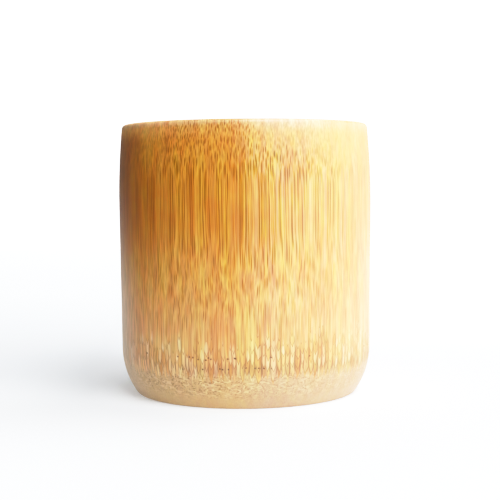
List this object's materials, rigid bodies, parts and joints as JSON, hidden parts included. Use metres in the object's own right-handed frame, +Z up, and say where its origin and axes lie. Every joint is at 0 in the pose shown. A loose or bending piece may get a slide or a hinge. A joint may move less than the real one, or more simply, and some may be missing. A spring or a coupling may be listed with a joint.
{
  "type": "bamboo cup",
  "caption": "Handleless drinking cup turned from a length of bamboo culm, with a rounded lip, straight bore, rounded foot and a floor grown across the node.",
  "frame": {"origin": "centre of the ring that the cup stands on, at table height, on the cup's axis", "axes": "+Z up along the cup's axis towards the lip; the cup is round, so +X and +Y are any two square directions"},
  "size_m": [0.08, 0.08, 0.0845],
  "materials": {
    "bamboo_wall": "sanded along the grain and sealed to a satin sheen, long dark fibre streaks on honey ground",
    "bamboo_node": "sanded and sealed to a satin sheen, short flame figure where the fibres cross",
    "bamboo_diaphragm": "scraped and sealed, felted fibre figure",
    "bamboo_foot": "sanded and sealed to a satin sheen, pale with fine cut fibre ends"
  },
  "bodies": {
    "root": {"culm_wall": "bamboo_wall", "node_ring": "bamboo_node", "node_diaphragm": "bamboo_diaphragm", "foot_ring": "bamboo_foot"}
  },
  "joints": []
}
